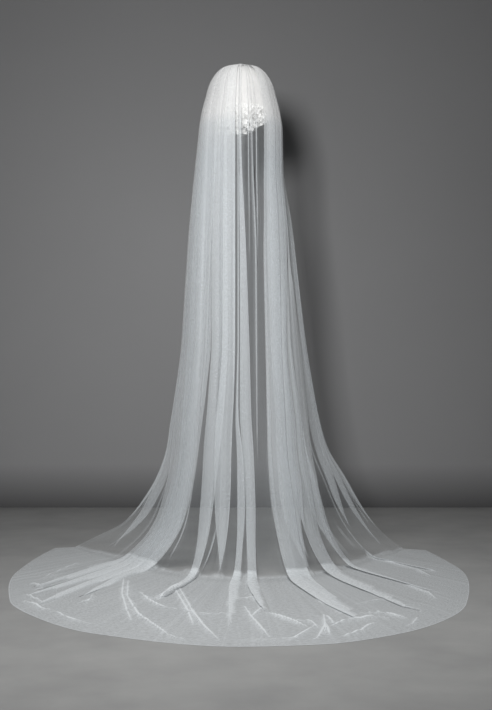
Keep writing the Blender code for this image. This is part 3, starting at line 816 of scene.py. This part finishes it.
    @staticmethod
    def make_mesh(points: np.ndarray, cloth: np.ndarray, length: np.ndarray,
                  marks: dict[str, np.ndarray]) -> bpy.types.Object:
        """Turn the rows of points into a mesh object.

        Args:
            points: the sheet's points, row by row.
            cloth: each column's place across the cut cloth.
            length: each row's place down the cut cloth.
            marks: a number for each point, under the name that the material reads.

        Returns:
            The object, with its UV map in metres of cloth.
        """
        rows, columns = points.shape[:2]
        sheet = bmesh.new()
        bmesh.ops.create_grid(sheet, x_segments=columns - 1, y_segments=rows - 1, size=1.0)
        uv_layer = sheet.loops.layers.uv.new("cloth")
        layers = {name: sheet.verts.layers.float.new(name) for name in marks}
        place = {}
        for vert in sheet.verts:
            column = round((vert.co.x + 1.0) * 0.5 * (columns - 1))
            row = round((1.0 - vert.co.y) * 0.5 * (rows - 1))
            place[vert] = (row, column)
            vert.co = points[row, column]
            for name, layer in layers.items():
                vert[layer] = marks[name][row, column]
        for face in sheet.faces:
            for loop in face.loops:
                row, column = place[loop.vert]
                loop[uv_layer].uv = (cloth[column], -length[row])
        return to_object("veil_panel", sheet)

    def dress(self, panel: bpy.types.Object, finish: NetFinish) -> None:
        """Give the panel its net, hang it from the root and hide the veil's solids that it takes the place
        of.

        Args:
            panel: the object that build made.
            finish: the net's look.
        """
        panel.data.materials.append(finish.material())
        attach(panel, "root")
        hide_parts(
            "veil_crown", "veil_fall_left", "veil_fall_back", "veil_fall_right",
            "veil_train_left", "veil_train_back", "veil_train_right",
        )


@dataclass
class CrownPadding:
    """The ball of crumpled net that fills the crown, with frills round its lower edge."""

    merge_distance: float = 1e-5
    cuts: int = 3
    roundness: float = 0.6
    crease_scales: tuple = (42.0, 95.0, 210.0)
    crease_shares: tuple = (1.0, 0.6, 0.35)
    crumple_depth: float = 0.0024
    crumple_top: float = 0.03
    crumple_fade: float = 0.06
    crumple_upper: float = 0.6
    crumple_lower: float = 0.8
    inset: float = 0.0008
    lower_rise: float = 0.88
    frills: int = 1050
    frills_below: float = 0.006
    frills_front: float = 0.35
    frill_hang: float = 0.021
    hang_start: float = 0.3
    hang_fade: float = 0.4
    edge_low: float = -0.064
    edge_bend: float = 0.016
    edge_slope: float = 0.62
    edge_tilt: float = 0.18
    petal_size: tuple = (0.0045, 0.0085)
    petal_segments: int = 5
    petal_wave_scale: float = 130.0
    petal_wave: float = 0.48
    petal_curl: float = 0.12
    petal_lean: tuple = (0.0, -0.5, -0.4)
    petal_tilt: float = 0.6
    petal_sink: float = 0.45
    noise_reach: float = 60.0
    seed: int = 31

    def lower_edge(self, x: float, y: float) -> float:
        """How low the padding reaches at a place seen from above; it rises to the right."""
        return self.edge_low + self.edge_slope * max(0.0, x - self.edge_bend) + self.edge_tilt * y

    def merged_solid(self) -> bmesh.types.BMesh:
        """The padding's solid as one merged mesh."""
        ball = bmesh.new()
        ball.from_mesh(bpy.data.objects["crown_padding"].data)
        bmesh.ops.remove_doubles(ball, verts=ball.verts, dist=self.merge_distance)
        ball.normal_update()
        return ball

    def build(self) -> bpy.types.Object:
        """Crumple the padding's surface inside its solid.

        Returns:
            The crumpled ball.
        """
        ball = self.merged_solid()
        bmesh.ops.subdivide_edges(
            ball, edges=ball.edges, cuts=self.cuts, use_grid_fill=True, smooth=self.roundness
        )
        ball.normal_update()
        for vert in ball.verts:
            creases = sum(
                share * abs(noise.noise(vert.co * scale))
                for scale, share in zip(self.crease_scales, self.crease_shares)
            )
            low = min(1.0, max(0.0, (self.crumple_top - vert.co.z) / self.crumple_fade))
            depth = self.crumple_depth * creases * (self.crumple_upper + self.crumple_lower * low)
            vert.co.z *= self.lower_rise if vert.co.z < 0.0 else 1.0
            vert.co -= vert.normal * (self.inset + depth)
        return to_object("padding_ball", ball)

    def build_frills(self) -> bpy.types.Object:
        """Scatter small crumpled petals of net over the lower part of the padding.

        Returns:
            All the petals as one object.
        """
        ball = self.merged_solid()
        places = []
        for vert in ball.verts:
            if vert.co.z < self.frills_below and vert.normal.y < self.frills_front:
                under = min(1.0, max(0.0, -vert.normal.z - self.hang_start) / self.hang_fade)
                low = vert.co.z * self.lower_rise - self.frill_hang * under
                low = max(low, self.lower_edge(vert.co.x, vert.co.y))
                places.append((Vector((vert.co.x, vert.co.y, low)), vert.normal.copy()))
        ball.free()
        chance = np.random.default_rng(self.seed)
        frill_mesh = bmesh.new()
        for number in chance.choice(len(places), self.frills):
            self.add_petal(frill_mesh, *places[number], chance)
        return to_object("padding_frills", frill_mesh)

    def add_petal(self, frills: bmesh.types.BMesh, place: Vector, out: Vector,
                  chance: np.random.Generator) -> None:
        """Add one crumpled petal that stands on the padding.

        Args:
            frills: the mesh that takes it.
            place: where it stands.
            out: the direction out of the padding there.
            chance: the source of its unevenness.
        """
        size = chance.uniform(*self.petal_size)
        made = bmesh.ops.create_grid(
            frills, x_segments=self.petal_segments, y_segments=self.petal_segments, size=size
        )
        offset = Vector(chance.uniform(0.0, self.noise_reach, 3))
        for vert in made["verts"]:
            wave = noise.noise(vert.co * self.petal_wave_scale + offset)
            curl = (vert.co.x**2 + vert.co.y**2) / size
            vert.co.z += self.petal_wave * size * wave + self.petal_curl * curl
        facing = (out + Vector(self.petal_lean)).normalized()
        turn = facing.to_track_quat("Z", "Y").to_matrix().to_4x4()
        tilt = Euler(chance.uniform(-self.petal_tilt, self.petal_tilt, 3)).to_matrix().to_4x4()
        sink = place - out * (self.petal_sink * size)
        bmesh.ops.transform(frills, matrix=Matrix.Translation(sink) @ turn @ tilt, verts=made["verts"])

    @staticmethod
    def dress(piece: bpy.types.Object, material: bpy.types.Material) -> None:
        """Give a piece of the padding its look and put it in its solid's place."""
        piece.data.materials.append(material)
        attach(piece, "root")
        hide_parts("crown_padding")


class Wire:
    """One output socket, with Python's operators standing for Math nodes."""

    def __init__(self, board: Board, socket: bpy.types.NodeSocket) -> None:
        """Remember the node tree and the socket."""
        self.board = board
        self.socket = socket

    def maths(self, operation: str, *values: Wire | float) -> Wire:
        """Add a Math node and return its output."""
        return self.board.node("ShaderNodeMath", {"operation": operation}, dict(enumerate(values)))

    def __add__(self, other: Wire | float) -> Wire:
        """Sum."""
        return self.maths("ADD", self, other)

    def __radd__(self, other: float) -> Wire:
        """Sum, with a number first."""
        return self.maths("ADD", other, self)

    def __sub__(self, other: Wire | float) -> Wire:
        """Difference."""
        return self.maths("SUBTRACT", self, other)

    def __rsub__(self, other: float) -> Wire:
        """Difference, with a number first."""
        return self.maths("SUBTRACT", other, self)

    def __mul__(self, other: Wire | float) -> Wire:
        """Product."""
        return self.maths("MULTIPLY", self, other)

    def __rmul__(self, other: float) -> Wire:
        """Product, with a number first."""
        return self.maths("MULTIPLY", other, self)

    def absolute(self) -> Wire:
        """The value without its sign."""
        return self.maths("ABSOLUTE", self)

    def sine(self) -> Wire:
        """Sine."""
        return self.maths("SINE", self)

    def held(self, low: float, high: float) -> Wire:
        """The value, kept between two numbers."""
        return self.maths("MINIMUM", self.maths("MAXIMUM", self, low), high)


class Board:
    """The node tree of one material, with short calls to add to it."""

    def __init__(self, name: str) -> None:
        """Make a material with an empty tree and an output."""
        self.material = bpy.data.materials.new(name)
        self.material.use_nodes = True
        self.tree = self.material.node_tree
        self.tree.nodes.clear()
        self.output = self.tree.nodes.new("ShaderNodeOutputMaterial")

    def node(self, kind: str, settings: dict, sockets: dict, output: int | str = 0) -> Wire:
        """Add any node.

        Args:
            kind: the node's type.
            settings: its own settings, set first.
            sockets: a value or a wire for each input, by name or number.
            output: which output to return.

        Returns:
            The chosen output.
        """
        made = self.tree.nodes.new(kind)
        for name, value in settings.items():
            setattr(made, name, value)
        for name, value in sockets.items():
            self.plug(made.inputs[name], value)
        return Wire(self, made.outputs[output])

    def plug(self, socket: bpy.types.NodeSocket, value: Wire | float | tuple) -> None:
        """Link a wire to a socket, or set the socket's own value."""
        if isinstance(value, Wire):
            self.tree.links.new(value.socket, socket)
        else:
            socket.default_value = value

    def attribute(self, name: str) -> Wire:
        """A number stored on the mesh."""
        return self.node("ShaderNodeAttribute", {"attribute_name": name}, {}, "Fac")

    def cloth_place(self) -> Wire:
        """The place on the cloth, in metres."""
        return self.node("ShaderNodeUVMap", {"uv_map": "cloth"}, {}, "UV")

    def object_place(self) -> Wire:
        """The place on the object, in metres."""
        return self.node("ShaderNodeTexCoord", {}, {}, "Object")

    def parts(self, vector: Wire) -> tuple[Wire, Wire]:
        """The first two numbers of a vector."""
        split = self.tree.nodes.new("ShaderNodeSeparateXYZ")
        self.plug(split.inputs[0], vector)
        return Wire(self, split.outputs[0]), Wire(self, split.outputs[1])

    def cloud(self, place: Wire, scale: float, detail: float = 2.0) -> Wire:
        """Soft noise from 0 to 1."""
        sockets = {"Vector": place, "Scale": scale, "Detail": detail, "Roughness": 0.55}
        return self.node("ShaderNodeTexNoise", {"noise_dimensions": "3D"}, sockets, "Fac")

    def colour_mix(self, share: Wire | float, first: tuple | Wire, second: tuple | Wire) -> Wire:
        """Mix two colours."""
        return self.node("ShaderNodeMix", {"data_type": "RGBA"}, {0: share, 6: first, 7: second}, 2)

    def finish(self, shader: Wire) -> bpy.types.Material:
        """Link the shader to the output and hand over the material."""
        self.tree.links.new(shader.socket, self.output.inputs["Surface"])
        return self.material


@dataclass(frozen=True)
class NetFinish:
    """Soft sheer net: white thread, open between, denser where it is folded or cut."""

    thread: tuple = (0.765, 0.795, 0.81, 1.0)
    sparse_thread: tuple = (0.68, 0.72, 0.745, 1.0)
    backed_thread: tuple = (0.84, 0.845, 0.845, 1.0)
    mesh_pitch: float = 0.0014
    mesh_strength: float = 0.25
    mottle_scale: float = 130.0
    mottle_strength: float = 0.45
    streak_across: float = 62.0
    streak_down: float = 0.8
    streak_strength: float = 0.60
    crest_across: float = 64.0
    crest_down: float = 0.25
    crest_start: float = 0.60
    crest_strength: float = 4.0
    edge_cover: float = 0.22
    wrinkle_width: float = 0.0036
    wrinkle_cover: float = 0.55
    mesh_slant: float = 0.577
    crest_most: float = 0.6
    most_cover: float = 0.97

    def material(self) -> bpy.types.Material:
        """Build the net's material."""
        board = Board("soft_net")
        place = board.cloth_place()
        across, down = board.parts(place)
        turn = 2 * math.pi / self.mesh_pitch
        first = ((across + down * self.mesh_slant) * turn).sine()
        second = ((across - down * self.mesh_slant) * turn).sine()
        threads = first * second * self.mesh_strength
        mottle = (board.cloud(place, self.mottle_scale) - 0.5) * (2 * self.mottle_strength)
        stretched = board.node(
            "ShaderNodeMapping", {}, {"Vector": place, "Scale": (self.streak_across, self.streak_down, 1.0)}
        )
        streaks = (board.cloud(stretched, 1.0, 3.0) - 0.5) * (2 * self.streak_strength)
        drawn = board.node(
            "ShaderNodeMapping", {}, {"Vector": place, "Scale": (self.crest_across, self.crest_down, 1.0)}
        )
        crests = (board.cloud(drawn, 1.0) - self.crest_start) * self.crest_strength
        crests = crests.held(0.0, self.crest_most)
        cover = board.attribute("net_cover")
        edge = board.attribute("raw_edge")
        hanging = board.attribute("hanging")
        alpha = cover * (threads + mottle + streaks * hanging + 1.0) + edge * self.edge_cover
        alpha = alpha + crests * hanging * (1.0 - cover)
        for lane in LANES:
            away = board.attribute(f"crest_side_{lane}").absolute()
            line = (1.0 - away * (1.0 / self.wrinkle_width)).held(0.0, 1.0)
            alpha = alpha + line * board.attribute(f"crest_{lane}") * self.wrinkle_cover
        colour = board.colour_mix(cover.held(0.0, 1.0), self.sparse_thread, self.thread)
        colour = board.colour_mix(board.attribute("backed"), colour, self.backed_thread)
        shader = board.node(
            "ShaderNodeBsdfPrincipled",
            {},
            {
                "Base Color": colour,
                "Roughness": 0.75,
                "Specular IOR Level": 0.20,
                "Sheen Weight": 0.25,
                "Sheen Roughness": 0.50,
                "Alpha": alpha.held(0.0, self.most_cover),
            },
            "BSDF",
        )
        return board.finish(shader)


@dataclass(frozen=True)
class PaddingFinish:
    """Fluffy crumpled net, opaque white, with shade painted darker into its colour in the hollows between its
    crumples.
    """

    bright: tuple = (0.66, 0.655, 0.645, 1.0)
    painted_hollow_shade: tuple = (0.61, 0.605, 0.595, 1.0)

    def material(self) -> bpy.types.Material:
        """Build the padding's material."""
        board = Board("crumpled_net")
        place = board.object_place()
        crumple = board.cloud(place, 55.0, 4.0)
        fluff = board.cloud(place, 420.0)
        sockets = {"Strength": 0.3, "Distance": 0.003, "Height": crumple + fluff * 0.3}
        bump = board.node("ShaderNodeBump", {}, sockets, "Normal")
        shader = board.node(
            "ShaderNodeBsdfPrincipled",
            {},
            {
                # painted shade: the crumple noise mixes a darker colour into the hollows between crumples
                "Base Color": board.colour_mix(crumple, self.painted_hollow_shade, self.bright),
                "Roughness": 0.9,
                "Specular IOR Level": 0.10,
                "Sheen Weight": 0.1,
                "Normal": bump,
            },
            "BSDF",
        )
        return board.finish(shader)


@dataclass(frozen=True)
class FrillFinish:
    """The loose petals of net at the padding's edge, half see-through."""

    colour: tuple = (0.96, 0.96, 0.95, 1.0)
    cover: float = 0.70
    unevenness: float = 0.28

    def material(self) -> bpy.types.Material:
        """Build the petals' material."""
        board = Board("loose_net")
        patch = board.cloud(board.object_place(), 300.0)
        alpha = (patch - 0.5) * (2 * self.unevenness) + self.cover
        sockets = {
            "Base Color": self.colour,
            "Roughness": 0.85,
            "Specular IOR Level": 0.15,
            "Sheen Weight": 0.3,
            "Alpha": alpha.held(0.05, 0.95),
        }
        return board.finish(board.node("ShaderNodeBsdfPrincipled", {}, sockets, "BSDF"))


@dataclass(frozen=True)
class PlainFinish:
    """A plain matt studio surface, uneven by a trace, and with painted shade that darkens it toward its foot
    where asked.
    """

    name: str
    colour: tuple
    darker: tuple
    roughness: float
    patch_scale: float = 2.2
    foot_height: float = 0.0
    painted_foot_shade: float = 1.0

    def material(self) -> bpy.types.Material:
        """Build the surface's material."""
        board = Board(self.name)
        place = board.object_place()
        patch = board.cloud(place, self.patch_scale, 9.0)
        colour = board.colour_mix(patch, self.darker, self.colour)
        # Painted shade: the colour darkens toward the foot, where the backdrop meets the floor.
        if self.foot_height:
            height = board.node("ShaderNodeSeparateXYZ", {}, {"Vector": place}, "Z")
            share = ((height - FLOOR_Z) * (1.0 / self.foot_height)).held(0.0, 1.0)
            foot = tuple(channel * self.painted_foot_shade for channel in self.darker[:3]) + (1.0,)
            colour = board.colour_mix(share, foot, colour)
        sockets = {"Base Color": colour, "Roughness": self.roughness, "Specular IOR Level": 0.2}
        return board.finish(board.node("ShaderNodeBsdfPrincipled", {}, sockets, "BSDF"))


class LampRow(NamedTuple):
    """One soft lamp: where it stands, where it points, its size, spread in degrees and power."""

    name: str
    place: tuple
    aim: tuple
    size: float
    spread: float
    power: float


LAMPS = (
    LampRow("key_by_camera", (-0.37, -4.3, -0.37), (-0.30, 1.75, -0.22), 0.40, 62.0, 20.5),
    LampRow("floor_wash", (-0.2, -1.7, 2.3), (0.0, -0.7, -1.49), 1.4, 75.0, 19.0),
    LampRow("fill_right", (2.8, -2.4, 0.4), (0.0, 0.0, -0.8), 1.6, 120.0, 1.5),
)


@dataclass
class Studio:
    """The pale floor, the backdrop, the lamps and the camera."""

    wall_y: float = 1.62
    half_width: float = 5.0
    wall_height: float = 4.2
    floor_front: float = -5.5
    camera_place: tuple = (0.0163, -4.0, -0.790)
    focal_length: float = 62.06

    def build(self) -> None:
        """Put up everything round the veil."""
        floor = self.sheet("studio_floor", (0.0, 0.5 * (self.wall_y + self.floor_front), FLOOR_Z),
                           (self.half_width, 0.5 * (self.wall_y - self.floor_front)), 0.0)
        floor.data.materials.append(
            PlainFinish("studio_floor", (0.42, 0.42, 0.41, 1.0), (0.26, 0.26, 0.26, 1.0), 0.6, 5.0).material()
        )
        wall = self.sheet("studio_backdrop", (0.0, self.wall_y, FLOOR_Z + 0.5 * self.wall_height),
                          (self.half_width, 0.5 * self.wall_height), 90.0)
        wall.data.materials.append(
            PlainFinish(
                "studio_backdrop", (0.288, 0.288, 0.292, 1.0), (0.270, 0.270, 0.274, 1.0), 0.9,
                # painted shade darkens the backdrop over its lowest part, where it meets the floor
                foot_height=0.20, painted_foot_shade=0.35,
            ).material()
        )
        for lamp in LAMPS:
            self.add_lamp(lamp)
        self.add_world()
        self.add_camera()

    @staticmethod
    def sheet(name: str, centre: tuple, half_size: tuple, tilt: float) -> bpy.types.Object:
        """A flat rectangle, laid at 0 degrees or stood up at 90."""
        plane = bmesh.new()
        bmesh.ops.create_grid(plane, x_segments=1, y_segments=1, size=1.0)
        size = Matrix.Diagonal((half_size[0], half_size[1], 1.0, 1.0))
        turn = Matrix.Rotation(math.radians(tilt), 4, "X")
        bmesh.ops.transform(plane, matrix=Matrix.Translation(centre) @ turn @ size, verts=plane.verts)
        return to_object(name, plane)

    @staticmethod
    def add_lamp(row: LampRow) -> None:
        """Stand one soft square lamp and point it."""
        data = bpy.data.lights.new(row.name, "AREA")
        data.shape = "SQUARE"
        data.size = row.size
        data.spread = math.radians(row.spread)
        data.energy = row.power
        lamp = bpy.data.objects.new(row.name, data)
        lamp.location = row.place
        aim = Vector(row.aim) - Vector(row.place)
        lamp.rotation_euler = aim.to_track_quat("-Z", "Y").to_euler()
        bpy.context.scene.collection.objects.link(lamp)

    @staticmethod
    def add_world() -> None:
        """Even soft light from all round."""
        world = bpy.data.worlds.new("studio_air")
        world.use_nodes = True
        air = world.node_tree.nodes["Background"]
        air.inputs["Color"].default_value = (0.95, 0.97, 1.0, 1.0)
        air.inputs["Strength"].default_value = 0.025
        bpy.context.scene.world = world

    def add_camera(self) -> None:
        """Level camera behind the veil, at the height of the photograph's horizon."""
        data = bpy.data.cameras.new("studio_camera")
        data.lens = self.focal_length
        data.sensor_width = 36.0
        data.sensor_fit = "AUTO"
        camera = bpy.data.objects.new("studio_camera", data)
        camera.location = self.camera_place
        camera.rotation_euler = Euler((math.radians(90.0), 0.0, 0.0))
        bpy.context.scene.collection.objects.link(camera)
        bpy.context.scene.camera = camera


def main() -> None:
    """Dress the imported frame."""
    logging.basicConfig(level=logging.INFO, format="%(message)s")
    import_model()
    bpy.context.scene.view_settings.view_transform = "Standard"
    bpy.context.scene.cycles.transparent_max_bounces = 64
    padding = CrownPadding()
    for piece, finish in ((padding.build(), PaddingFinish()), (padding.build_frills(), FrillFinish())):
        padding.dress(piece, finish.material())
        LOG.info("%s: %d faces", piece.name, len(piece.data.polygons))
    panel_maker = VeilPanel()
    panel = panel_maker.build()
    panel_maker.dress(panel, NetFinish())
    LOG.info("veil panel: %d faces", len(panel.data.polygons))
    Studio().build()


if __name__ == "__main__":
    main()
